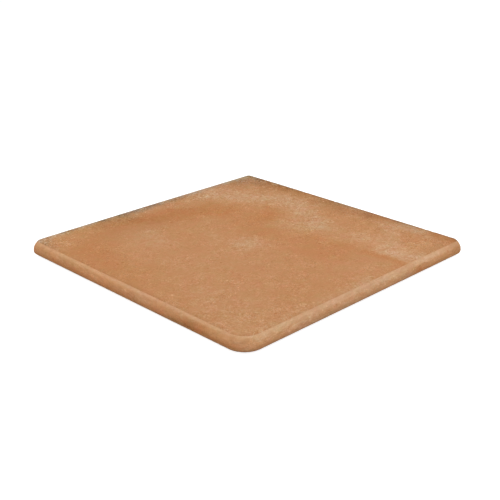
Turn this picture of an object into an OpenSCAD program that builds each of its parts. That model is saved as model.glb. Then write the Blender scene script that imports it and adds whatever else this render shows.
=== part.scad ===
// Corner stair tread tile: one fired clay tile for the outer corner of a step.
//
// The origin is at the centre of the underside, and +Z points up out of the tread.
// A round nosing runs along the -X side and the -Y side and turns the corner between
// them. The +X side and the +Y side are cut square, to meet the next tiles.

/* [Tile] */
// Length along X, from the front of the nosing to the cut side
tile_x = 330; // [200:1:600]
// Length along Y, from the front of the nosing to the cut side
tile_y = 330; // [200:1:600]
// Thickness, from the underside to the tread surface
tile_t = 18; // [14:0.5:30]

/* [Nosing] */
// Radius of the round from the tread surface down to the front of the nosing
nose_upper_r = 10.5; // [6:0.1:13]
// Radius of the round from the front of the nosing down to the underside
nose_lower_r = 7.5; // [2:0.1:12]

/* [Corners] */
// Radius in plan of the nosed corner, at the front of the nosing
corner_r = 23; // [14:0.5:60]
// Radius in plan of the corner between the two cut sides
cut_corner_r = 3.5; // [0.5:0.5:10]

/* [Hidden] */
clay = [0.75, 0.54, 0.39];
$fn = 96;

// What reaches past a round to clip it to a quarter
clip = 1;
// Height that the upper round leaves below it
room_h = tile_t - nose_upper_r;
// A flat band between the two rounds that would be thinner than this is left out
least_band = 0.05;
// The lower round takes all of that height where no band is left
lower_r = room_h - nose_lower_r < least_band ? room_h : nose_lower_r;
band_h = room_h - lower_r;
// Size of the flat field inside the nosed strips, and the corner where it meets both
field_x = tile_x - corner_r;
field_y = tile_y - corner_r;
field_corner = [corner_r - tile_x / 2, corner_r - tile_y / 2, 0];

// A quarter of a disc, between +X and +Y
module quarter_disc(r) {
    intersection() {
        circle(r);
        square(r + clip);
    }
}

// Section through a nosed edge: x runs outwards from the field to the front of the
// nosing, and y upwards from the underside
module nosed_section() {
    translate([corner_r - nose_upper_r, room_h]) quarter_disc(nose_upper_r);
    translate([0, room_h]) square([corner_r - nose_upper_r, nose_upper_r]);
    translate([corner_r - lower_r, lower_r]) mirror([0, 1]) quarter_disc(lower_r);
    square([corner_r - lower_r, lower_r]);
    if (band_h > 0)
        translate([0, lower_r]) square([corner_r, band_h]);
}

// The strip with the nosing on the -Y side, up to the cut +X side
module strip_along_x() {
    rotate([90, 0, 90])
        linear_extrude(field_x)
            mirror([1, 0])
                nosed_section();
}

// The strip with the nosing on the -X side, up to the cut +Y side
module strip_along_y() {
    rotate([90, 0, 180])
        linear_extrude(field_y)
            nosed_section();
}

// The quarter turn that carries the nosing from one side round to the other
module nosed_corner() {
    rotate([0, 0, 180])
        rotate_extrude(angle = 90)
            nosed_section();
}

// The flat field, with the cut corner eased in plan
module field() {
    linear_extrude(tile_t) {
        square([field_x, field_y - cut_corner_r]);
        square([field_x - cut_corner_r, field_y]);
        translate([field_x - cut_corner_r, field_y - cut_corner_r])
            quarter_disc(cut_corner_r);
    }
}

module corner_tread() {
    color(clay) translate(field_corner) {
        field();
        strip_along_x();
        strip_along_y();
        nosed_corner();
    }
}

corner_tread();
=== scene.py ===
"""Corner stair tread tile in fired clay, on a pale studio floor.

The tile's skin is a few surfaces, each worked out on a grid of two parameters: the nosing carried
round the two front sides, the belt carried round the two cut sides, the flat field above and below,
and the two ends of the nosing. They share the points along their edges and are welded into one
closed skin. The points then move inwards by the relief of pressed and cut clay, and carry the
fields that the fired colour and, on the nosings, the painted light follow.

Lengths are in metres, apart from those in the lists of noise and of clouds, which are in
millimetres. The nosings are on the -X and -Y sides, and the cut sides face +X and +Y.
"""

import math

import bpy
import numpy as np
from mathutils import Matrix, Vector


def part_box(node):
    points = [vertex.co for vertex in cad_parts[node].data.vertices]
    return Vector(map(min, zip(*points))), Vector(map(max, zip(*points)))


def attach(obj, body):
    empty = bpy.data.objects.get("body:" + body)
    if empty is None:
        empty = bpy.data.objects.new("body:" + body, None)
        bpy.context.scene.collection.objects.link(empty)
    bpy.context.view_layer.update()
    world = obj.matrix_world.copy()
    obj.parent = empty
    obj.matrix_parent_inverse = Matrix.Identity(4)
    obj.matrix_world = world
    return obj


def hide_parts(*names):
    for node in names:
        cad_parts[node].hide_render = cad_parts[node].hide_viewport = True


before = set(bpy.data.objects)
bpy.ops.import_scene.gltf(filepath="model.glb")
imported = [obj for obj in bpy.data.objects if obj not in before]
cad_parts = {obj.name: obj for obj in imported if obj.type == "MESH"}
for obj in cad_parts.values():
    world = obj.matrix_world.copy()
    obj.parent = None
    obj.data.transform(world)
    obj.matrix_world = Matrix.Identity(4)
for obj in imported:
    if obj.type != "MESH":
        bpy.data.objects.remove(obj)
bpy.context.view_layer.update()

MM = 0.001
# Added to what may be 0 before it divides
TINY = 1e-12

# ---------------------------------------------------------------- sizes

# The tile's outer box, and the radii of its rounds
LOW, HIGH = (np.array(corner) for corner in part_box("corner_tread"))
THICKNESS = HIGH[2] - LOW[2]
NOSE_UPPER_R = 10.5 * MM
NOSE_LOWER_R = 7.5 * MM
CORNER_R = 23 * MM
CUT_CORNER_R = 3.5 * MM
ARRIS_R = 0.35 * MM
# The flat field inside the nosed strips: the corner where it meets both, and its size
FIELD_CORNER = LOW[:2] + CORNER_R
FIELD_SIZE = HIGH[:2] - FIELD_CORNER

# The pressed face runs a little way over the nosing's round, to where it slopes by this many
# degrees. It ends there in a small step down to the burnished nosing, which falls within STEP_RUN
# degrees, and the nosing is back on the round at STEP_FADE_SLOPE
FACE_END_SLOPE = 30.5
STEP_RUN = 0.5
STEP_H = 0.14 * MM
STEP_FADE_SLOPE = 95
# Past this slope a point is on the nosing and no longer on the pressed face
NOSED_SLOPE = FACE_END_SLOPE + STEP_RUN / 2
# Bare clay: the nosing from this slope on, and what lies this near to a cut wall or the underside
BARE_SLOPE = 165
BARE_SKIN = 0.5 * ARRIS_R
# Faces that turn by more degrees than this meet in a sharp edge
SHARP_ANGLE = 38

# Mesh counts: steps along the field, round the corners in plan, and along the sections
FIELD_STEPS = 168
TURN_STEPS = 26
CUT_TURN_STEPS = 4
LIP_STEPS = 2
ARRIS_STEPS = 4
WALL_STEPS = 9
TOP_FLAT_STEPS = 7
FACE_ROUND_STEPS = 5
NOSE_ROUND_STEPS = 11
LOW_ROUND_STEPS = 14
# Points of two surfaces that are this near to each other are one point
WELD = 1e-6

# How far the +Y side is bowed in at its +X end, the place along X where it isn't, how far its tread
# has sunk at that end, and how far into the tile both reach
BOW = 0.8 * MM
BOW_PEAK_X = -70 * MM
BOW_SINK = 0.4 * MM
BOW_REACH = 60 * MM

# ---------------------------------------------------------------- relief

# Noise repeats after this many of its boxes
LATTICE = 64
# Unevenness, as parts of (depth, size, seed) in millimetres: the swell of the flats and the nosing,
# the roughness of the underside, the drag of the cut on the cut walls, and the wear of their arrises
SWELL = [(0.03, 80, 1), (0.015, 25, 2), (0.012, 9, 3), (0.008, 4, 4)]
BED_ROUGH = [(0.06, 6, 11), (0.04, 2.5, 12)]
CUT_DRAG = [(0.09, (26, 26, 1.6), 9), (0.05, 3, 10)]
ARRIS_WEAR = [(0.03, 4, 8)]
# How the height of the step strays along it: by what share, over what size, and a seed
STEP_STRAY = (0.3, 14, 5)
# The underside's roughness takes over from the swell between these downward parts of a normal
BED_FACING = (0.5, 0.9)
# The ways from a cut wall between which the skin stops counting as the wall's own
WALL_SKIN = (0.1 * MM, 0.7 * MM)
# How far from the flats the drag of the cut has its full depth
DRAG_FADE = 2 * MM
# The ways from an arris of the cut walls between which its wear and chips fade out
CHIP_REACH = (0.3 * ARRIS_R, 2.6 * MM)
# Chips: their depth, the noise that places them, as parts of (share, size, seed), and its values
# between which they deepen
CHIP_DEPTH = 0.6 * MM
CHIP_NOISE = [(1.0, 8, 6), (0.5, 3, 7)]
CHIP_RISE = (0.4, 1.2)

# ---------------------------------------------------------------- clouds of the fired colour and of painted light

# The clouds lie in four fields. The tone goes from -1 for deep to 1 for pale. The shade is
# how much lighter (above 0) or darker the clay is, the hue how much pinker (above 0) or yellower,
# and the grit how much livelier its speckle is than on the plain tread. The fire left most of
# them, but on the nosings some of the tone and the shade is painted light: a painted highlight
# in the band past the step, the nosing lightened by slope, and the nosed corner lightened where
# it faces the light.
#
# A cloud of the tread has its strength, the width over which it fades, and the line along which it
# lies, from the tile's centre. A cloud of a nosing has its strength, its half length along the
# side, its half height in degrees of slope, and its middle: the place along the side from the
# tile's centre, and the slope, from 0 on top to 90 at the front

# A half length that takes in a whole side
ALL_ALONG = 1000

TREAD_TONE = [
    # The deep sweep inside the +Y side, and the deep patches past its ends
    (-0.22, 24, [(-134, 108), (-108, 128), (-78, 140)]),
    (-0.40, 21, [(-44, 134), (2, 120), (34, 102), (48, 86)]),
    (-0.30, 14, [(70, 38), (84, 44), (97, 55)]),
    (-0.22, 28, [(-138, 80), (-144, 20)]),
    # The deep band down the middle, and its narrow end at the -Y nosing
    (-0.16, 24, [(36, 40), (38, -30), (34, -90)]),
    (-0.14, 10, [(60, -38), (64, -90)]),
    (-0.34, 6, [(67, -112), (70, -162)]),
    (-0.10, 16, [(134, -8), (132, -56)]),
    # The pale sweep inside the far corner, and on towards the -Y nosing
    (0.34, 19, [(64, 148), (84, 124), (106, 96), (120, 62)]),
    (0.30, 16, [(122, 36), (106, 4), (92, -28)]),
    (0.12, 22, [(70, 0), (96, -20)]),
    (0.10, 12, [(90, 62), (90, 54)]),
    (0.22, 16, [(96, -80), (104, -120)]),
    (0.20, 9, [(146, -70), (136, -84), (122, -104)]),
    # The pale middle, and the haze between it and the -X nosing
    (0.34, 17, [(-8, -4), (2, -8)]),
    (0.12, 14, [(-16, 42), (-20, 36)]),
    (0.20, 16, [(-66, 62), (-68, 88)]),
    (0.10, 26, [(-116, 4), (-62, -28)]),
    (0.08, 16, [(-150, 92), (-122, 88)]),
    (0.12, 26, [(-118, -68), (-140, -90)]),
    (0.10, 24, [(-118, -120), (-150, -130)]),
    # Along the +Y side
    (0.16, 12, [(86, 152), (104, 150)]),
    (0.16, 13, [(-30, 156), (10, 156)]),
    (0.35, 7, [(-165, 162), (-130, 162)]),
    (0.35, 5, [(-165, 165), (-120, 165)]),
    (0.85, 6, [(-105, 165), (150, 165)]),
    (0.15, 9, [(-44, 154), (-18, 156)]),
    # At the corner of the cut sides
    (0.40, 12, [(142, 165), (165, 165)]),
    (0.16, 8, [(146, 156), (156, 150)]),
    (-0.20, 6, [(132, 160), (156, 160)]),
    (-0.15, 7, [(159, 150), (159, 136)]),
    # Along the +X side
    (-0.36, 14, [(158, 112), (158, 50)]),
    (-0.28, 12, [(160, 20), (160, -60)]),
    (-0.40, 9, [(162, -138), (160, -160)]),
    (0.30, 6, [(153, -92), (154, -122)]),
    (0.45, 6, [(164, 4), (164, -16)]),
    (0.12, 12, [(148, -84), (152, -96)]),
    (0.14, 7, [(160, -22), (160, -16)]),
    # Along the nosings
    (0.40, 15, [(88, -126), (88, -158)]),
    (0.16, 5, [(-136, -158), (14, -158)]),
    (0.12, 7, [(-6, -157), (12, -157)]),
    (0.22, 7, [(78, -146), (80, -138)]),
    (0.07, 4, [(-160, -147), (-160, -134)]),
    (0.16, 7, [(-157, 130), (-157, 148)]),
]
NOSE_X_TONE = [
    # The paler band past the step, partly a painted highlight, and the stained front
    (0.12, ALL_ALONG, 12, 0, 40),
    (-0.50, ALL_ALONG, 20, 0, 94),
    # At the nosed corner: paler patches, partly painted light where its front faces the light
    (0.42, 20, 22, -165, 34),
    (0.42, 15, 26, -165, 96),
    (-0.14, 7, 8, -160, 36),
    (0.20, 7, 12, -159, 86),
    (0.20, 5, 10, -153, 70),
    (-0.14, 9, 10, -152, 46),
    (0.16, 6, 10, -148, 70),
    (0.14, 12, 12, -138, 92),
    # From there along the side
    (-0.20, 8, 9, -110, 90),
    (-0.18, 10, 14, -108, 62),
    (0.09, 6, 26, -100, 60),
    (-0.40, 15, 24, -90, 88),
    (0.12, 10, 6, -90, 62),
    (-0.14, 12, 8, -84, 107),
    (0.10, 22, 30, -80, 84),
    (-0.14, 14, 14, -50, 40),
    (0.28, 13, 26, -23, 74),
    (0.14, 40, 12, -20, 104),
    (0.11, 9, 14, -20, 54),
    (0.14, 10, 12, 16, 74),
    (-0.20, 8, 10, 30, 90),
    (-0.14, 12, 10, 31, 42),
    (-0.20, 60, 10, 58, 36),
    (0.14, 12, 14, 62, 96),
    (-0.12, 30, 8, 78, 82),
    (-0.14, 7, 12, 86, 92),
    (-0.12, 36, 14, 110, 86),
    (0.16, 12, 14, 148, 96),
]
NOSE_Y_TONE = [
    # The wiped band and the stained front
    (0.27, ALL_ALONG, 60, 0, 40),
    (-0.14, ALL_ALONG, 14, 0, 88),
    # At the nosed corner: paler patches, partly painted light where its front faces the light
    (0.42, 22, 28, -165, 34),
    (-0.14, 7, 8, -160, 36),
    (0.20, 7, 12, -159, 86),
    (-0.40, 8, 22, -156, 56),
    (-0.20, 10, 8, -142, 106),
    # From there along the side
    (-0.16, 14, 12, -126, 94),
    (0.18, 7, 10, -115, 42),
    (0.13, 10, 20, -90, 76),
    (0.20, 20, 20, -84, 82),
    (0.20, 10, 8, -50, 106),
    (0.18, 70, 10, -40, 106),
    (-0.14, 8, 12, -30, 54),
    (0.14, 14, 18, -28, 88),
    (-0.14, 10, 12, -14, 56),
    (-0.10, 20, 8, 40, 38),
    (0.20, 6, 14, 64, 70),
    (0.16, 9, 12, 70, 96),
    (0.14, 10, 8, 70, 104),
    (-0.26, 9, 14, 73, 38),
    (-0.36, 9, 24, 88, 84),
    (-0.24, 6, 12, 90, 100),
    (-0.16, 8, 8, 90, 92),
    (0.16, 14, 14, 106, 50),
    (-0.16, 34, 14, 118, 96),
    (-0.18, 34, 26, 120, 84),
    (-0.20, 8, 12, 150, 86),
    (-0.34, 17, 60, 158, 60),
]
TREAD_SHADE = [
    # Over the field
    (-0.05, 26, [(-90, 116), (-45, 112)]),
    (-0.05, 30, [(-30, 130), (20, 125)]),
    (0.05, 15, [(92, -90), (92, -150)]),
    # Along the +Y side
    (-0.20, 3.5, [(-165, 165), (-135, 165)]),
    (-0.45, 5, [(-125, 165), (-78, 165)]),
    (-0.46, 7, [(-70, 165), (10, 165)]),
    (-0.30, 6.5, [(25, 165), (120, 165)]),
    (-0.12, 16, [(-75, 152), (-48, 150)]),
    (-0.14, 6, [(-168, 150), (-148, 156)]),
    (-0.14, 6, [(-46, 158), (70, 158)]),
    (-0.07, 4, [(-158, 163), (-124, 163)]),
    (-0.07, 7, [(-157, 138), (-157, 150)]),
    # At the corner of the cut sides
    (-0.32, 13, [(142, 165), (165, 165)]),
    (-0.08, 22, [(116, 150), (150, 122)]),
    (-0.08, 9, [(128, 160), (150, 134), (154, 122)]),
    (0.13, 5, [(150, 161), (159, 156)]),
    (-0.13, 6, [(162, 152), (160, 140)]),
    (-0.06, 4, [(138, 164), (158, 164)]),
    (0.05, 5, [(112, 162), (126, 162)]),
    # Along the +X side
    (-0.15, 16, [(166, 150), (166, 60), (166, -40)]),
    (-0.07, 12, [(166, -40), (166, -165)]),
    (-0.20, 5, [(166, 165), (166, -165)]),
    (-0.07, 18, [(156, 150), (156, -150)]),
    (-0.12, 6, [(162, -82), (162, -102)]),
    (-0.06, 6, [(163, -76), (163, -64)]),
    (0.04, 7, [(160, -22), (160, -16)]),
    # Along the nosings
    (-0.07, 7, [(96, -156), (134, -156)]),
    (0.05, 4, [(-147, -160), (-134, -160)]),
    (0.05, 4, [(-160, -147), (-160, -134)]),
]
NOSE_X_SHADE = [
    # All along the side: painted light that lightens the nosing by slope, with a painted highlight in
    # the band past the step
    (0.11, ALL_ALONG, 120, 0, 60),
    (0.06, ALL_ALONG, 20, 0, 100),
    (-0.06, ALL_ALONG, 16, 0, 98),
    (0.08, ALL_ALONG, 16, 0, 40),
    # At the nosed corner: painted light that lightens its front where it faces the light, and small
    # marks
    (0.16, 15, 60, -165, 66),
    (-0.06, 7, 8, -160, 38),
    (0.09, 7, 14, -159, 84),
    (-0.10, 6, 10, -139, 98),
    # The smoked stretch
    (-0.10, 5, 12, -116, 92),
    (-0.05, 8, 30, -98, 64),
    (-0.08, 12, 10, -96, 60),
    (-0.18, 10, 18, -92, 90),
    (-0.10, 12, 9, -84, 106),
    (-0.09, 14, 8, -80, 104),
    (-0.10, 9, 30, -79, 84),
    (-0.20, 6, 12, -67, 98),
    (-0.08, 8, 8, -60, 106),
    # From there along the side
    (0.10, 14, 8, -32, 105),
    (-0.09, 12, 18, -8, 78),
    (0.07, 28, 40, 46, 55),
    (0.05, 60, 8, 90, 102),
    (-0.08, 8, 18, 110, 66),
    (0.07, 10, 14, 130, 52),
]
NOSE_Y_SHADE = [
    # All along the side: painted light that lightens the nosing by slope
    (0.11, ALL_ALONG, 120, 0, 60),
    (0.06, ALL_ALONG, 20, 0, 100),
    (-0.04, ALL_ALONG, 10, 0, 88),
    # At the nosed corner: painted light that lightens its front where it faces the light, and small
    # marks
    (0.20, 18, 60, -165, 62),
    (-0.06, 7, 8, -160, 38),
    (0.09, 7, 14, -159, 84),
    (-0.08, 8, 12, -148, 56),
    (0.05, 14, 10, -140, 84),
    # From there along the side
    (0.05, 26, 8, -122, 76),
    (0.07, 60, 40, -120, 56),
    (-0.10, 5, 10, -50, 98),
    (-0.10, 8, 18, 30, 62),
    (-0.08, 22, 8, 62, 88),
    (0.06, 8, 10, 68, 62),
    (-0.07, 10, 14, 72, 92),
    (0.05, 16, 8, 104, 102),
    (-0.09, 10, 8, 150, 78),
    (-0.12, 16, 60, 160, 60),
]
TREAD_HUE = [
    # Over the field
    (-0.20, 22, [(60, 122), (28, 94)]),
    (-0.18, 18, [(58, 28), (62, -20)]),
    (0.20, 26, [(-88, 24), (-60, 6)]),
    (0.20, 26, [(4, -30), (30, -90), (28, -120)]),
    (0.16, 26, [(-120, -60), (-88, -96)]),
    # Along the +Y side
    (-0.45, 9, [(-130, 160), (-50, 160)]),
    (-0.25, 20, [(-150, 148), (-60, 148)]),
    (0.28, 16, [(92, 148), (90, 140)]),
    (-0.50, 7, [(120, 163), (162, 160)]),
    # Along the +X side
    (-0.50, 8, [(162, 165), (162, 40)]),
    (-0.35, 7, [(163, 20), (163, -20)]),
    (-0.25, 22, [(148, 96), (150, 0)]),
]
NOSE_X_HUE = [
    # The wiped band
    (-0.25, ALL_ALONG, 18, 0, 40),
    # At the nosed corner
    (0.50, 8, 16, -158, 90),
    (-0.45, 7, 30, -140, 92),
    (0.40, 9, 14, -135, 72),
    # The smoked stretch
    (-0.45, 6, 16, -120, 80),
    (0.50, 7, 12, -119, 105),
    (-0.60, 6, 12, -113, 98),
    (0.50, 5, 12, -107, 86),
    (0.20, 8, 20, -100, 60),
    (-0.50, 12, 22, -92, 92),
    (-0.50, 12, 14, -84, 98),
    (-0.60, 7, 12, -67, 97),
    # From there along the side
    (0.35, 9, 30, -60, 80),
    (0.30, 7, 10, -48, 92),
    (0.20, 24, 16, 20, 76),
    (-0.35, 50, 12, 70, 36),
    (-0.50, 34, 26, 128, 90),
]
NOSE_Y_HUE = [
    # The wiped band
    (-0.25, ALL_ALONG, 20, 0, 44),
    # From the nosed corner along the side
    (0.50, 8, 16, -158, 90),
    (0.30, 26, 18, -98, 86),
    (-0.50, 5, 12, -50, 98),
    (0.25, 10, 16, 34, 42),
    (0.40, 9, 12, 70, 96),
    (-0.25, 10, 20, 74, 52),
    (-0.70, 40, 24, 122, 90),
]
TREAD_GRIT = [
    # Over the field
    (0.3, 24, [(90, 100), (120, 60)]),
    (0.3, 18, [(64, 90), (66, -20)]),
    (-0.10, 60, [(-80, 40), (-10, -120)]),
    (-0.15, 26, [(0, -40), (30, -110)]),
    (-0.7, 14, [(-140, 121), (-20, 121)]),
    # Along the +Y side
    (1.5, 7, [(-158, 162), (60, 162)]),
    (1.0, 6, [(60, 162), (140, 162)]),
    (1.4, 14, [(-156, 150), (-140, 136)]),
    (0.8, 12, [(-84, 148), (-40, 146)]),
    (0.8, 18, [(24, 152), (100, 140)]),
    # Along the +X side
    (3.0, 9, [(146, 160), (160, 146)]),
    (3.0, 7, [(163, 150), (163, 84)]),
    (0.55, 55, [(160, 150), (160, -150)]),
]
NOSE_X_GRIT = [
    # The smoked stretch
    (1.2, 30, 16, -88, 98),
]
NOSE_Y_GRIT = []

# The tone, shade and hue fields; on the nosings some of the tone and the shade is painted light
COLOUR_AND_LIGHT_FIELDS = {
    "tone": (TREAD_TONE, NOSE_X_TONE, NOSE_Y_TONE),
    "shade": (TREAD_SHADE, NOSE_X_SHADE, NOSE_Y_SHADE),
    "hue": (TREAD_HUE, NOSE_X_HUE, NOSE_Y_HUE),
}

# How the places of the tread's clouds stray, as parts of (reach, size, seed), and the width from
# which a cloud strays all the way
CLOUD_STRAY = [(6.0, 24, 21), (3.5, 9, 31)]
WIDE_CLOUD = 16
# How far down the cut walls the clouds of the tread reach
CLOUD_DEPTH = 6 * MM
# The slopes between which the nosing's burnish fades out, its wiped band gives way to its stained
# front, and the stain ends, and how much livelier the speckle is on the stain
BURNISH_FADE = (80, 108)
STAIN_START = (50, 66)
STAIN_END = (108, 120)
STAIN_GRIT = 1.0
# How much longer the nosing's streaks are than they are high
STREAK = 2.5

# ---------------------------------------------------------------- finishes

# The clay's fired colour, linear, and how each channel follows the tone
BODY = np.array([0.482, 0.234, 0.103])
TONE_SPREAD = np.array([0.14, 0.50, 0.93])
TONE_STOPS = 9
# How a patch is tinted where the fire left it yellowest, and where it left it pinkest
YELLOWER = (0.950, 1.055, 0.980)
PINKER = (1.052, 0.947, 1.020)
# The way that a noise and the specks move for each metre of shift
NOISE_SHIFT = Vector((1, 0.37, -0.61))
SPECK_SHIFT = Vector((1, 1, 1))
# A speck's strength at its middle, before it is held to 1, and how it changes across one cell
SPECK_TOP = 1.6
SPECK_FALL = -5.0
# A wisp's strength along its vein, before it is held to 1, and how it changes beside it
WISP_TOP = 1.0
WISP_FALL = -8.0
# Heights of the bump of the grain and of the pits, and how much of the grain's shows
GRAIN_H = 0.12 * MM
GRAIN_SHOWN = 0.5
PIT_H = 0.2 * MM
# Roughness where the nosing is burnished
BURNISHED_ROUGH = 0.33

# Each finish: its roughness where it isn't burnished, its specular level, the strengths of its
# mottle, grain and pits, what is added to its tone, and whether its patterns are drawn out in
# streaks along the nosing
FINISHES = {
    "pressed_face": dict(roughness=0.85, gloss=0.14, mottle=1.0, grain=1.0, pits=0.5, lift=-0.07),
    "burnished_nosing": dict(roughness=0.85, gloss=0.12, mottle=0.6, grain=0.5, pits=0.2,
                             lift=-0.05, streaked=True),
    "cut_clay": dict(roughness=0.95, gloss=0.15, mottle=1.0, grain=1.3, pits=0.9, lift=-0.1),
}
PRESSED_FACE, BURNISHED_NOSING, CUT_CLAY = range(len(FINISHES))

# ---------------------------------------------------------------- studio

# The floor: a square this wide, this far under the tile, in grey paint that glows by this much
# where it is seen
FLOOR_WIDTH = 12
FLOOR_GAP = 0.05 * MM
FLOOR_GREY = (0.55, 0.55, 0.55, 1)
FLOOR_GLOW = 0.80
# The light from all round
WHITE = (1, 1, 1, 1)
WORLD_LIGHT = 0.37
# Softboxes: place and size in metres, power in watts, and the direction that the size starts along
SOFTBOXES = {
    "left_softbox": dict(place=(-0.44, 0.92, 0.92), along=(0.88, 0, 0.48), size=(0.9, 0.4), power=7),
    "right_softbox": dict(place=(0.91, -0.66, 0.76), along=(0, 0.75, 0.66), size=(1.1, 0.4), power=9.5),
    "front_softbox": dict(place=(-1.0, -0.6, 1.0), along=(1, -1, 0), size=(1.2, 1.2), power=8),
}
# The camera's azimuth, elevation and roll in degrees, the point that it aims at, how far from that
# it is, and its lens in millimetres
CAMERA_TURN = (-44.56, 22.50, 0.266)
CAMERA_AIM = (15.12 * MM, 10.43 * MM, -0.33 * MM)
CAMERA_DISTANCE = 1.0463
CAMERA_LENS = 67.76


# ---------------------------------------------------------------- the skin's grids

def grid_faces(points):
    """Quads of a grid of points P(i, j): each is (i, j), (i + 1, j), (i + 1, j + 1), (i, j + 1)."""
    rows, columns = points.shape[:2]
    number = np.arange(rows * columns).reshape(rows, columns)
    corners = (number[:-1, :-1], number[1:, :-1], number[1:, 1:], number[:-1, 1:])
    return np.stack(corners, -1).reshape(-1, 4)


def cut_stations(length):
    """Places along a nosed side, from the field's nosed corner (0) to the cut plane (length), and how
    far the arris there takes the skin in: a quarter round of angle t from 0 to 90 degrees has
    place = length - r + r sin t and fall = r (1 - cos t)."""
    field = np.linspace(0, length - CUT_CORNER_R, FIELD_STEPS + 1)
    lip = np.linspace(length - CUT_CORNER_R, length - ARRIS_R, LIP_STEPS + 1)[1:]
    turn = np.linspace(0, math.pi / 2, ARRIS_STEPS + 1)[1:]
    place = np.concatenate([field, lip, length - ARRIS_R + ARRIS_R * np.sin(turn)])
    fall = np.concatenate([np.zeros(len(field) + len(lip)), ARRIS_R * (1 - np.cos(turn))])
    return place, fall


def nosing_section():
    """The section from the field's edge over the nosing and back underneath: out, up and slope.

    out = R_c - r + r cos s and up = z_c + r sin s, where s is the slope of the outward normal above
    the horizontal, r the upper radius for s > 0 and the lower one for s < 0. Flats join them to the
    field's edge, where out = 0. There are as many steps below the front as above it, so that the
    halves of a nosing's end pair up.
    """
    end = 90 - FACE_END_SLOPE
    upper = np.radians(np.concatenate([
        np.linspace(90, end, FACE_ROUND_STEPS + 1),
        np.linspace(end - STEP_RUN, 0, NOSE_ROUND_STEPS + 1)]))
    lower = np.radians(np.linspace(0, -90, LOW_ROUND_STEPS + 1))[1:]
    low_flat_steps = TOP_FLAT_STEPS + FACE_ROUND_STEPS + NOSE_ROUND_STEPS + 1 - LOW_ROUND_STEPS
    top_flat = np.linspace(0, CORNER_R - NOSE_UPPER_R, TOP_FLAT_STEPS + 1)[:-1]
    low_flat = np.linspace(CORNER_R - NOSE_LOWER_R, 0, low_flat_steps + 1)[1:]
    out = np.concatenate([top_flat,
                          CORNER_R - NOSE_UPPER_R * (1 - np.cos(upper)),
                          CORNER_R - NOSE_LOWER_R * (1 - np.cos(lower)), low_flat])
    up = np.concatenate([np.full(len(top_flat), THICKNESS),
                         THICKNESS - NOSE_UPPER_R * (1 - np.sin(upper)),
                         NOSE_LOWER_R * (1 + np.sin(lower)), np.zeros(len(low_flat))])
    slope = np.concatenate([np.full(len(top_flat), math.pi / 2), upper, lower,
                            np.full(len(low_flat), -math.pi / 2)])
    return out, up, slope


def carried_plan(centre, angle, reach):
    """Plan points c(t) + reach(t, q) n(t), where n(t) is the unit vector at that angle from +X."""
    outward = np.stack([np.cos(angle), np.sin(angle)], -1)
    return centre[:, None, :] + reach[..., None] * outward[:, None, :]


def nosing():
    """P(t, q) = c(t) + out(q) n(t) + up(q) z - fall(t) N(t, q).

    c(t) runs along the field's -Y edge from the cut plane, waits at the field's corner while n(t)
    turns through 90 degrees, and runs up its -X edge to the other cut plane. n is the outward
    direction in plan and N the section's outward normal.
    """
    out, up, slope = nosing_section()
    along_y, fall_y = cut_stations(FIELD_SIZE[1])
    along_x, fall_x = cut_stations(FIELD_SIZE[0])
    turn = np.linspace(1.5 * math.pi, math.pi, TURN_STEPS + 1)[1:-1]
    still = np.zeros(len(turn))
    centre_x = np.concatenate([along_x[::-1], still, np.zeros(len(along_y))])
    centre_y = np.concatenate([np.zeros(len(along_x)), still, along_y])
    centre = FIELD_CORNER + np.stack([centre_x, centre_y], -1)
    angle = np.concatenate([np.full(len(along_x), 1.5 * math.pi), turn,
                            np.full(len(along_y), math.pi)])
    fall = np.concatenate([fall_x[::-1], still, fall_y])[:, None]
    plan = carried_plan(centre, angle, out - fall * np.cos(slope))
    height = LOW[2] + up - fall * np.sin(slope)
    return np.concatenate([plan, height[..., None]], -1)


def belt():
    """P(t, q) = c(t) + out(q) n(t) + up(q) z, along the two cut sides.

    c(t) runs along the field's +Y edge, waits at its corner while n(t) turns through 90 degrees, and
    comes back down its +X edge. The section is a lip, a quarter round, the wall, a quarter round
    and a lip.
    """
    turn = np.linspace(0, math.pi / 2, ARRIS_STEPS + 1)[1:]
    lip = np.linspace(0, CUT_CORNER_R - ARRIS_R, LIP_STEPS + 1)
    wall = np.linspace(THICKNESS - ARRIS_R, ARRIS_R, WALL_STEPS + 1)[1:-1]
    half_out = np.concatenate([lip, CUT_CORNER_R - ARRIS_R * (1 - np.sin(turn))])
    half_in = np.concatenate([np.zeros(len(lip)), ARRIS_R * (1 - np.cos(turn))])
    out = np.concatenate([half_out, np.full(len(wall), CUT_CORNER_R), half_out[::-1]])
    up = np.concatenate([THICKNESS - half_in, wall, half_in[::-1]])

    span = FIELD_SIZE - CUT_CORNER_R
    along_x = np.linspace(0, span[0], FIELD_STEPS + 1)
    along_y = np.linspace(span[1], 0, FIELD_STEPS + 1)
    turn = np.linspace(math.pi / 2, 0, CUT_TURN_STEPS + 1)[1:-1]
    still = np.ones(len(turn))
    centre_x = np.concatenate([along_x, span[0] * still, np.full(len(along_y), span[0])])
    centre_y = np.concatenate([np.full(len(along_x), span[1]), span[1] * still, along_y])
    centre = FIELD_CORNER + np.stack([centre_x, centre_y], -1)
    angle = np.concatenate([np.full(len(along_x), math.pi / 2), turn, np.zeros(len(along_y))])
    plan = carried_plan(centre, angle, np.broadcast_to(out, (len(angle), len(out))))
    height = np.broadcast_to(LOW[2] + up, plan.shape[:2])
    return np.concatenate([plan, height[..., None]], -1)


def flat_field(height, facing):
    """P(i, j) = (x(i), y(j), height), over the flat between the nosing and the belt. facing is 1 for
    a field that faces up and -1 for one that faces down."""
    steps = np.linspace(0, 1, FIELD_STEPS + 1)
    share = np.stack(np.meshgrid(steps[::facing], steps, indexing="ij"), -1)
    plan = FIELD_CORNER + share * (FIELD_SIZE - CUT_CORNER_R)
    return np.concatenate([plan, np.full(plan.shape[:2] + (1,), height)], -1)


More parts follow.
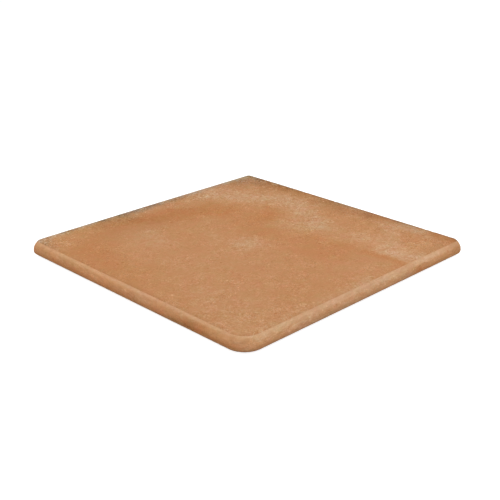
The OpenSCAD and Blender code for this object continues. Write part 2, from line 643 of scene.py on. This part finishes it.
def nosing_end(edge):
    """P(q, k) = (1 - k) U(q) + k L(q), between the upper half U and the lower half L of the line in
    which the nosing meets a cut plane. Both halves end at the tip, where the rows close up."""
    half = len(edge) // 2
    upper = edge[:half + 1, None, :]
    lower = edge[half:, None, :][::-1]
    share = np.linspace(0, 1, WALL_STEPS + 1)[None, :, None]
    return (1 - share) * upper + share * lower


def weld(grids):
    """One list of points, one of quads and one of triangles from all the grids. Points that round to
    the same whole number of WELD steps become one, and a quad that loses a side so is a triangle."""
    points = np.concatenate([grid.reshape(-1, 3) for grid in grids])
    starts = np.cumsum([0] + [grid.shape[0] * grid.shape[1] for grid in grids])
    faces = np.concatenate([grid_faces(grid) + start for grid, start in zip(grids, starts)])
    _, first, number = np.unique(np.round(points / WELD).astype(np.int64), axis=0,
                                 return_index=True, return_inverse=True)
    faces = number.reshape(-1)[faces]
    kept = faces != np.roll(faces, -1, axis=1)
    sides = kept.sum(1)
    triangles = faces[sides == 3][kept[sides == 3]].reshape(-1, 3)
    return points[first], faces[sides == 4], triangles


def point_normals(points, quads, triangles):
    """The unit sum of the normals of the faces round each point, each weighted by its area: half the
    cross product of a quad's diagonals, or of a triangle's first two sides."""
    total = np.zeros_like(points)
    for faces, ((a, b), (c, d)) in ((quads, ((0, 2), (1, 3))), (triangles, ((0, 1), (0, 2)))):
        area = np.cross(points[faces[:, b]] - points[faces[:, a]],
                        points[faces[:, d]] - points[faces[:, c]])
        for corner in faces.T:
            for axis in range(3):
                total[:, axis] += np.bincount(corner, area[:, axis], len(points))
    return total / np.linalg.norm(total, axis=1, keepdims=True)


# ---------------------------------------------------------------- places on the skin, and noise

def smooth_step(value, start, end):
    """3 u^2 - 2 u^3 of u = (value - start) / (end - start), held between 0 and 1."""
    u = np.clip((value - start) / (end - start), 0, 1)
    return u * u * (3 - 2 * u)


def nosing_slope(points):
    """How far the skin slopes away from the flat tread on the nosing, in degrees from 0 on top to 90
    at the front and 180 underneath: the angle round the upper or the lower round's centre line."""
    out = np.linalg.norm(np.minimum(points[:, :2] - FIELD_CORNER, 0), axis=1)
    above = points[:, 2] - LOW[2] > NOSE_LOWER_R
    radius = np.where(above, NOSE_UPPER_R, NOSE_LOWER_R)
    centre_up = np.where(above, THICKNESS - NOSE_UPPER_R, NOSE_LOWER_R)
    beyond = np.maximum(out - (CORNER_R - radius), 0)
    return np.degrees(np.arctan2(beyond, points[:, 2] - LOW[2] - centre_up))


def wall_way(points):
    """The way to the nearest cut wall and the outward direction there. With q the plan way past the
    middle of the cut corner's round, they are r - |q| and q / |q|."""
    past = np.maximum(points[:, :2] - (HIGH[:2] - CUT_CORNER_R), 0)
    far = np.linalg.norm(past, axis=1)
    outward = np.concatenate([past, np.zeros((len(past), 1))], 1) / (far[:, None] + TINY)
    return CUT_CORNER_R - far, outward


def on_cut_wall(points):
    """1 on the cut walls, which fades to 0 over WALL_SKIN at their arrises."""
    to_wall, _ = wall_way(points)
    return 1 - smooth_step(to_wall, *WALL_SKIN)


def line_distance(plan, line):
    """The least distance from each plan point to a line of straight stretches from a to b: to the
    point a + u (b - a), with u the share of the way, held between 0 and 1."""
    nearest = np.full(len(plan), np.inf)
    for a, b in zip(line[:-1], line[1:]):
        way = b - a
        share = np.clip((plan - a) @ way / (way @ way), 0, 1)
        nearest = np.minimum(nearest, np.linalg.norm(plan - a - share[:, None] * way, axis=1))
    return nearest


def lattice_noise(points, size, seed):
    """Smooth noise from -1 to 1: random numbers at the corners of boxes of that size in millimetres,
    blended with w = 3 u^2 - 2 u^3 along each side. The numbers repeat every LATTICE boxes."""
    numbers = np.random.default_rng(seed).uniform(-1, 1, (LATTICE,) * 3)
    place = points / (np.array(size) * MM)
    corner = np.floor(place).astype(int)
    w = smooth_step(place - corner, 0, 1)
    total = np.zeros(len(points))
    for step in np.ndindex(2, 2, 2):
        weight = np.prod(np.where(step, w, 1 - w), axis=1)
        total += weight * numbers[tuple(((corner + step) % LATTICE).T)]
    return total


def unevenness(points, parts):
    """A depth in metres, at least 0: the sum over (depth, size, seed) parts of depth (1 + noise)."""
    total = np.zeros(len(points))
    for depth, size, seed in parts:
        total += depth * MM * (1 + lattice_noise(points, size, seed))
    return total


# ---------------------------------------------------------------- the fields of fired colour and painted light

def tread_clouds(points, clouds):
    """The sum over the clouds of strength exp(-(d / width)^2), d the distance to the cloud's line
    from a place that strays from the point, so that the clouds are ragged."""
    total = np.zeros(len(points))
    stray = np.zeros((len(points), 2))
    for reach, size, seed in CLOUD_STRAY:
        for axis in range(2):
            stray[:, axis] += reach * lattice_noise(points, size, seed + axis)
    for strength, width, line in clouds:
        places = points[:, :2] / MM + stray * min(1, width / WIDE_CLOUD)
        d = line_distance(places, np.array(line, float))
        total += strength * np.exp(-(d / width) ** 2)
    return total


def nosing_clouds(place, slope, clouds):
    """The sum over the clouds of strength exp(-(a / length)^2 - (b / height)^2), a and b the ways
    along the side and round the nosing from the cloud's middle."""
    total = np.zeros(len(place))
    for strength, length, height, at, at_slope in clouds:
        a = (place / MM - at) / length
        b = (slope - at_slope) / height
        total += strength * np.exp(-a ** 2 - b ** 2)
    return total


def cloud_field(points, slope, on_tread, on_x_nosing, on_y_nosing):
    """The tread's clouds, which fade down the cut walls to nothing at CLOUD_DEPTH, and give way at
    the step to each nosing's own. The weights of the two nosings are the squares of the outward
    direction's parts, so they sum to 1 round the corner."""
    beyond = np.minimum(points[:, :2] - FIELD_CORNER, 0) ** 2
    x_share = beyond[:, 0] / (beyond.sum(1) + TINY)
    nosed = smooth_step(slope, FACE_END_SLOPE, FACE_END_SLOPE + STEP_RUN)
    at_x = nosing_clouds(points[:, 1], slope, on_x_nosing)
    at_y = nosing_clouds(points[:, 0], slope, on_y_nosing)
    on_nosing = x_share * at_x + (1 - x_share) * at_y
    down_wall = on_cut_wall(points) * smooth_step(HIGH[2] - points[:, 2], ARRIS_R, CLOUD_DEPTH)
    on_face = tread_clouds(points, on_tread) * (1 - down_wall)
    return (1 - nosed) * on_face + nosed * on_nosing


def streak_places(points, slope):
    """(a / STREAK, b, 0) with a the way along the nosing, from the start of the nosed corner's turn,
    and b the way round its section. Noise at these places is drawn out along the nosing."""
    past = points[:, :2] - FIELD_CORNER
    beyond = np.maximum(-past, 0)
    turned = np.arctan2(beyond[:, 0], beyond[:, 1])
    along = np.maximum(past[:, 1], 0) - np.maximum(past[:, 0], 0) + CORNER_R * turned
    around = NOSE_UPPER_R * np.radians(slope)
    return np.stack([along / STREAK, around, np.zeros(len(points))], -1)


def add_field(mesh, name, values):
    """Gives the mesh a number for each of its points, which the finishes read by that name."""
    field = mesh.attributes.new(name, "FLOAT", "POINT")
    field.data.foreach_set("value", np.asarray(values, np.float32))


def add_fields(mesh, points, slope):
    """The fields that the finishes follow: those of the fired colour and of painted light, the
    burnish from 0 to 1, how lively the speckle is, and the places of the streaks."""
    for name, clouds in COLOUR_AND_LIGHT_FIELDS.items():
        add_field(mesh, name, cloud_field(points, slope, *clouds))
    nosed = smooth_step(slope, FACE_END_SLOPE, FACE_END_SLOPE + STEP_RUN)
    add_field(mesh, "burnish", nosed * (1 - smooth_step(slope, *BURNISH_FADE)))
    stained = smooth_step(slope, *STAIN_START) * (1 - smooth_step(slope, *STAIN_END))
    grit = cloud_field(points, slope, TREAD_GRIT, NOSE_X_GRIT, NOSE_Y_GRIT)
    add_field(mesh, "lively", 1 + grit + STAIN_GRIT * stained)
    streaks = mesh.attributes.new("streaks", "FLOAT_VECTOR", "POINT")
    streaks.data.foreach_set("vector", streak_places(points, slope).astype(np.float32).ravel())


# ---------------------------------------------------------------- the piece

def bowed(points):
    """The +Y side's bow: with u the way along X from the peak as a share of the way to the far end,
    y falls by BOW u^2 and the tread by BOW_SINK u^2, and both fade over BOW_REACH into the tile."""
    u = (points[:, 0] - BOW_PEAK_X) / (HIGH[0] - BOW_PEAK_X)
    near = smooth_step(points[:, 1], HIGH[1] - BOW_REACH, HIGH[1])
    moved = points.copy()
    moved[:, 1] -= BOW * u ** 2 * near
    moved[:, 2] -= BOW_SINK * u ** 2 * near * (points[:, 2] - LOW[2]) / THICKNESS
    return moved


def relief(points, normals, slope):
    """How far each point sinks along its normal, in metres: the step at the end of the pressed face,
    whose depth fades round the nosing, the swell or the underside's roughness, and the cut's drag."""
    share, size, seed = STEP_STRAY
    step_h = STEP_H * (1 + share * lattice_noise(points, size, seed))
    fade = 1 - smooth_step(slope, FACE_END_SLOPE, STEP_FADE_SLOPE)
    step = (slope > NOSED_SLOPE) * step_h * fade
    underneath = smooth_step(-normals[:, 2], *BED_FACING)
    swell = (1 - underneath) * unevenness(points, SWELL)
    rough = underneath * unevenness(points, BED_ROUGH)
    to_flat = np.minimum(HIGH[2] - points[:, 2], points[:, 2] - LOW[2])
    on_wall = on_cut_wall(points) * smooth_step(to_flat, 0, DRAG_FADE)
    return step + swell + rough + on_wall * unevenness(points, CUT_DRAG)


def chips(points):
    """How far each point moves to wear and chip the arrises of the cut walls: along the diagonal
    inwards from the wall and from the flat, by a depth that falls to 0 over CHIP_REACH."""
    to_wall, outward = wall_way(points)
    middle = (LOW[2] + HIGH[2]) / 2
    to_flat = THICKNESS / 2 - np.abs(points[:, 2] - middle)
    near = 1 - smooth_step(np.hypot(to_wall, to_flat), *CHIP_REACH)
    ragged = sum(share * lattice_noise(points, size, seed) for share, size, seed in CHIP_NOISE)
    chipped = CHIP_DEPTH * smooth_step(ragged, *CHIP_RISE)
    depth = near * (unevenness(points, ARRIS_WEAR) + chipped)
    away = -outward
    away[:, 2] = np.where(points[:, 2] > middle, -1.0, 1.0)
    return depth[:, None] * away / math.sqrt(2)


def finish_numbers(points, slope, faces):
    """The number of each face's finish: the cut clay where all its points are bare, the burnished
    nosing where they are all past the step, and the pressed face elsewhere."""
    to_wall, _ = wall_way(points)
    bare = (to_wall < BARE_SKIN) | (slope > BARE_SLOPE) | (points[:, 2] < LOW[2] + BARE_SKIN)
    nosed = slope > NOSED_SLOPE
    worked = np.where(nosed[faces].all(1), BURNISHED_NOSING, PRESSED_FACE)
    return np.where(bare[faces].all(1), CUT_CLAY, worked)


def make_tile():
    """The welded skin, moved by its bow, relief and chips, with its fields and its finishes."""
    front = nosing()
    points, quads, triangles = weld([
        front, belt(), flat_field(HIGH[2], 1), flat_field(LOW[2], -1),
        nosing_end(front[0]), nosing_end(front[-1])[::-1]])
    normals = point_normals(points, quads, triangles)
    slope = nosing_slope(points)
    sunk = relief(points, normals, slope)[:, None] * normals
    moved = bowed(points) + chips(points) - sunk

    mesh = bpy.data.meshes.new("clay_corner_tread")
    mesh.from_pydata(moved.tolist(), [], quads.tolist() + triangles.tolist())
    mesh.polygons.foreach_set("use_smooth", np.ones(len(mesh.polygons), bool))
    mesh.set_sharp_from_angle(angle=math.radians(SHARP_ANGLE))
    add_fields(mesh, points, slope)
    numbers = [finish_numbers(points, slope, faces) for faces in (quads, triangles)]
    mesh.polygons.foreach_set("material_index", np.concatenate(numbers).astype(np.int32))
    for name, finish in FINISHES.items():
        mesh.materials.append(fired_clay(name, **finish))

    tile = bpy.data.objects.new("clay_corner_tread", mesh)
    bpy.context.scene.collection.objects.link(tile)
    return tile


# ---------------------------------------------------------------- materials

class Graph:
    """The node tree of a material or a world, filled by short calls that each make a node or a few
    and return the last one's output."""

    def __init__(self, owner):
        owner.use_nodes = True
        self.tree = owner.node_tree
        self.tree.nodes.clear()
        self.place = Vector((0, 0))

    def node(self, kind, **settings):
        """A node of that kind, a little below and beside the last one."""
        made = self.tree.nodes.new(kind)
        made.location = self.place
        self.place += Vector((180, -30))
        for key, value in settings.items():
            setattr(made, key, value)
        return made

    def feed(self, socket, value):
        """Sets an input: links it to an output, or gives it a plain value."""
        if isinstance(value, bpy.types.NodeSocket):
            self.tree.links.new(value, socket)
        else:
            socket.default_value = value

    def attribute(self, name):
        """The field of that name that the mesh carries."""
        return self.node("ShaderNodeAttribute", attribute_name=name).outputs["Fac"]

    def math(self, operation, *values, clamp=False):
        """A Math node's result, held between 0 and 1 where it is clamped."""
        made = self.node("ShaderNodeMath", operation=operation, use_clamp=clamp)
        for socket, value in zip(made.inputs, values):
            self.feed(socket, value)
        return made.outputs[0]

    def offset(self, start, amount, value, clamp=False):
        """start plus amount times value."""
        return self.math("MULTIPLY_ADD", value, amount, start, clamp=clamp)

    def total(self, *parts, start=0.0):
        """start plus the sum of amount times value over (amount, value) parts."""
        result = start
        for amount, value in parts:
            result = self.offset(result, amount, value)
        return result

    def where(self, shift, streaked=False):
        """Where a pattern is read: on the piece's own axes or along its streaks, moved by shift."""
        if streaked:
            place = self.node("ShaderNodeAttribute", attribute_name="streaks").outputs["Vector"]
        else:
            place = self.node("ShaderNodeTexCoord").outputs["Object"]
        mapping = self.node("ShaderNodeMapping")
        self.feed(mapping.inputs["Vector"], place)
        self.feed(mapping.inputs["Location"], shift)
        return mapping.outputs[0]

    def noise(self, size, detail, shift, twist=0.0, streaked=False):
        """Noise from -1 to 1 with features of about that size, drawn out into wisps by the twist,
        and along the nosing where it is streaked."""
        made = self.node("ShaderNodeTexNoise")
        self.feed(made.inputs["Vector"], self.where(shift * NOISE_SHIFT, streaked))
        self.feed(made.inputs["Scale"], 1 / size)
        self.feed(made.inputs["Detail"], detail)
        self.feed(made.inputs["Distortion"], twist)
        centred = self.math("SUBTRACT", made.outputs[0], 0.5)
        return self.math("MULTIPLY", centred, 2.0)

    def specks(self, size, share, shift):
        """Small round specks of 0 to 1, with 0 elsewhere. Space is split into cells of that size,
        and that share of them, picked by each cell's random number, has a speck about its middle.
        A second random number makes it strong or faint."""
        cells = self.node("ShaderNodeTexVoronoi")
        self.feed(cells.inputs["Vector"], self.where(shift * SPECK_SHIFT))
        self.feed(cells.inputs["Scale"], 1 / size)
        split = self.node("ShaderNodeSeparateColor")
        self.feed(split.inputs[0], cells.outputs["Color"])
        picked = self.math("LESS_THAN", split.outputs[0], share)
        near = self.offset(SPECK_TOP, SPECK_FALL, cells.outputs["Distance"], clamp=True)
        strong = self.math("MULTIPLY", near, split.outputs[1])
        return self.math("MULTIPLY", picked, strong)

    def ramp(self, value, stops):
        """A colour between (position, colour) stops, at the position that the value gives."""
        made = self.node("ShaderNodeValToRGB")
        elements = made.color_ramp.elements
        for i, (position, colour) in enumerate(stops):
            stop = elements[i] if i < 2 else elements.new(position)
            stop.position = position
            stop.color = tuple(colour) + (1,)
        self.feed(made.inputs[0], value)
        return made.outputs[0]

    def multiplied(self, colour, factor):
        """A colour times another colour or a number."""
        made = self.node("ShaderNodeMix", data_type="RGBA", blend_type="MULTIPLY")
        self.feed(made.inputs["Factor"], 1.0)
        self.feed(made.inputs["A"], colour)
        self.feed(made.inputs["B"], factor)
        return made.outputs["Result"]

    def bump(self, height, depth, strength, below=None):
        """A normal bumped by depth times height, on top of the bump below where there is one."""
        made = self.node("ShaderNodeBump")
        self.feed(made.inputs["Height"], height)
        self.feed(made.inputs["Distance"], depth)
        self.feed(made.inputs["Strength"], strength)
        if below is not None:
            self.feed(made.inputs["Normal"], below)
        return made.outputs[0]

    def seen(self):
        """1 for what the camera sees, straight or by gloss or through glass, and 0 for other light."""
        path = self.node("ShaderNodeLightPath")
        shiny = self.math("MAXIMUM", path.outputs["Is Glossy Ray"], path.outputs["Is Transmission Ray"])
        return self.math("MAXIMUM", path.outputs["Is Camera Ray"], shiny)


def fired_clay(name, roughness, gloss, mottle, grain, pits, lift, streaked=False):
    """Fired clay. Its colour is BODY exp(TONE_SPREAD tone) times its brightness and its tint.

    The tone is the tone field broken up by the mottles, plus the patches and mottles times the
    liveliness, the finer speckle times a liveliness that dust and smoke raise, and with them the
    painted highlight and painted shade in the fields, single pale and deep specks, and lift. The
    brightness is 1 plus the shade field broken up by the mottles, the grit and the same patterns
    times the liveliness, and the specks; on the nosings the shade field is partly painted light.
    The tint follows the hue field and a pattern of its own. The skin is smoother where it is
    burnished, and its bump is the grain and pinholes. mottle, grain and pits are the strengths of
    those parts.
    """
    clay = bpy.data.materials.new(name)
    g = Graph(clay)
    tone_field = g.attribute("tone")
    shade_field = g.attribute("shade")

    # Patterns, from wide clouds down to single grains
    clouds = g.noise(60 * MM, detail=3.0, shift=0.31)
    livelier = g.noise(20 * MM, detail=2.0, shift=6.6)
    patches = g.noise(16 * MM, detail=4.0, shift=1.7, twist=0.6, streaked=streaked)
    warm = g.noise(11 * MM, detail=5.0, shift=5.9, twist=0.6)
    veins = g.math("ABSOLUTE", g.noise(7.5 * MM, detail=2.0, shift=8.3, twist=1.5, streaked=streaked))
    wisps = g.offset(WISP_TOP, WISP_FALL, veins, clamp=True)
    mottles = g.noise(5.5 * MM, detail=3.0, shift=2.9, twist=1.2, streaked=streaked)
    flecks = g.noise(2.6 * MM, detail=2.0, shift=9.1, twist=0.8, streaked=streaked)
    fine = g.noise(1.3 * MM, detail=2.0, shift=4.3)
    grit = g.noise(1.1 * MM, detail=1.0, shift=7.7)
    deep_specks = g.specks(6.5 * MM, share=0.06, shift=1.9)
    pale_specks = g.specks(5.5 * MM, share=0.05, shift=0.4)
    dots = g.specks(3.6 * MM, share=0.20, shift=5.3)
    pinholes = g.specks(3.2 * MM, share=0.10, shift=3.1)

    # How lively the mottles are, and how restless the speckle is, which the pale tone and the dark
    # shade add to: dust and smoke, and the painted highlight and painted shade among them
    lively = g.total((1.0, g.attribute("lively")), (1.5, livelier))
    dust_and_highlight = g.math("MAXIMUM", tone_field, 0.0)
    smoke_and_shade = g.math("MINIMUM", shade_field, 0.0)
    restless = g.total((1.0, lively), (1.1, dust_and_highlight), (-2.5, smoke_and_shade))

    # The tone, and its colour on a ramp that runs from a tone of -1 to one of 1
    broken = g.math("MULTIPLY", tone_field, g.offset(1.0, 1.6 * mottle, mottles))
    mottled = g.total((0.15 * mottle, patches), (0.20 * mottle, mottles))
    mottled = g.math("MULTIPLY", mottled, lively)
    speckled = g.total((0.18 * grain, fine), (0.20 * grain, flecks), (0.20 * mottle, wisps),
                       (0.22 * mottle, dots))
    speckled = g.math("MULTIPLY", speckled, restless)
    tone = g.total((1.0, broken), (0.14 * mottle, clouds), (1.0, mottled), (1.0, speckled),
                   (0.35, pale_specks), (-0.5, deep_specks), start=lift)
    levels = np.linspace(-1, 1, TONE_STOPS)
    stops = [((level + 1) / 2, BODY * np.exp(TONE_SPREAD * level)) for level in levels]
    colour = g.ramp(g.offset(0.5, 0.5, tone), stops)

    # The brightness
    shade = g.math("MULTIPLY", shade_field, g.offset(1.0, 1.5 * mottle, mottles))
    grained = g.total((0.27 * grain, grit), (0.05 * grain, flecks), (0.035 * mottle, wisps),
                      (0.10 * mottle, mottles), (0.04 * mottle, patches), (0.26 * mottle, dots))
    grained = g.math("MULTIPLY", grained, lively)
    bright = g.total((1.0, grained), (0.30, pale_specks), (-0.12, deep_specks), (1.0, shade),
                     start=1.0)
    colour = g.multiplied(colour, bright)

    # The tint, which is 0 for yellowest and 1 for pinkest on its ramp
    pinkness = g.total((0.7, warm), (0.5, g.attribute("hue")), start=0.5)
    colour = g.multiplied(colour, g.ramp(pinkness, [(0.0, YELLOWER), (1.0, PINKER)]))

    # The skin
    burnished = g.math("MULTIPLY", g.attribute("burnish"), BURNISHED_ROUGH - roughness)
    rough = g.total((0.08, patches), (-0.06, fine), (1.0, burnished), start=roughness)
    grained_skin = g.bump(g.total((0.5, fine), (0.8, mottles)), GRAIN_H, GRAIN_SHOWN)
    pitted_skin = g.bump(g.math("MULTIPLY", pinholes, -1.0), PIT_H, pits, grained_skin)
    shader = g.node("ShaderNodeBsdfPrincipled")
    g.feed(shader.inputs["Base Color"], colour)
    g.feed(shader.inputs["Roughness"], rough)
    g.feed(shader.inputs["Specular IOR Level"], gloss)
    g.feed(shader.inputs["Normal"], pitted_skin)
    g.feed(g.node("ShaderNodeOutputMaterial").inputs["Surface"], shader.outputs[0])
    return clay


def studio_paint():
    """The floor's paint: a pale grey, which glows where it is seen, so that it is white with a faint
    shadow."""
    paint = bpy.data.materials.new("pale_floor")
    g = Graph(paint)
    grey = g.node("ShaderNodeBsdfDiffuse")
    g.feed(grey.inputs["Color"], FLOOR_GREY)
    glow = g.node("ShaderNodeEmission")
    g.feed(glow.inputs["Strength"], FLOOR_GLOW)
    glowing = g.node("ShaderNodeAddShader")
    g.feed(glowing.inputs[0], grey.outputs[0])
    g.feed(glowing.inputs[1], glow.outputs[0])
    pick = g.node("ShaderNodeMixShader")
    g.feed(pick.inputs[0], g.seen())
    g.feed(pick.inputs[1], grey.outputs[0])
    g.feed(pick.inputs[2], glowing.outputs[0])
    g.feed(g.node("ShaderNodeOutputMaterial").inputs["Surface"], pick.outputs[0])
    return paint


# ---------------------------------------------------------------- the studio

def make_floor():
    """A wide flat floor just under the tile."""
    bpy.ops.mesh.primitive_plane_add(size=FLOOR_WIDTH, location=(0, 0, LOW[2] - FLOOR_GAP))
    floor = bpy.context.object
    floor.name = "floor"
    floor.data.materials.append(studio_paint())


def make_world(strength):
    """Even light from all round, of that strength. Where it is seen, it is white."""
    world = bpy.data.worlds.new("studio")
    bpy.context.scene.world = world
    g = Graph(world)
    background = g.node("ShaderNodeBackground")
    g.feed(background.inputs["Color"], WHITE)
    g.feed(background.inputs["Strength"], g.offset(strength, 1 - strength, g.seen()))
    g.feed(g.node("ShaderNodeOutputWorld").inputs["Surface"], background.outputs[0])


def make_softbox(name, place, along, size, power):
    """A rectangular area lamp at that place, facing the tile. Its first size lies along the given
    direction, as nearly as the facing lets it."""
    facing = Vector(place).normalized()
    across = facing.cross(Vector(along)).normalized()
    axes = Matrix((across.cross(facing), across, facing)).transposed().to_4x4()
    lamp = bpy.data.lights.new(name, "AREA")
    lamp.shape = "RECTANGLE"
    lamp.size, lamp.size_y = size
    lamp.energy = power
    softbox = bpy.data.objects.new(name, lamp)
    bpy.context.scene.collection.objects.link(softbox)
    softbox.matrix_world = Matrix.Translation(place) @ axes


def make_camera():
    """A camera at CAMERA_DISTANCE from the point that it aims at. An azimuth of 0 looks along +Y, and
    the roll turns it about its own axis."""
    azimuth, elevation, roll = (math.radians(angle) for angle in CAMERA_TURN)
    back = Vector((math.sin(azimuth) * math.cos(elevation),
                   -math.cos(azimuth) * math.cos(elevation), math.sin(elevation)))
    right = Vector((math.cos(azimuth), math.sin(azimuth), 0))
    up = back.cross(right)
    rolled_right = right * math.cos(roll) - up * math.sin(roll)
    rolled_up = up * math.cos(roll) + right * math.sin(roll)
    place = Vector(CAMERA_AIM) + CAMERA_DISTANCE * back
    data = bpy.data.cameras.new("camera")
    data.lens = CAMERA_LENS
    camera = bpy.data.objects.new("camera", data)
    bpy.context.scene.collection.objects.link(camera)
    axes = Matrix((rolled_right, rolled_up, back)).transposed().to_4x4()
    camera.matrix_world = Matrix.Translation(place) @ axes
    bpy.context.scene.camera = camera


tile = make_tile()
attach(tile, "root")
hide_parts("corner_tread")

make_floor()
make_world(WORLD_LIGHT)
for name, softbox in SOFTBOXES.items():
    make_softbox(name, **softbox)
make_camera()
bpy.context.scene.view_settings.view_transform = "Standard"
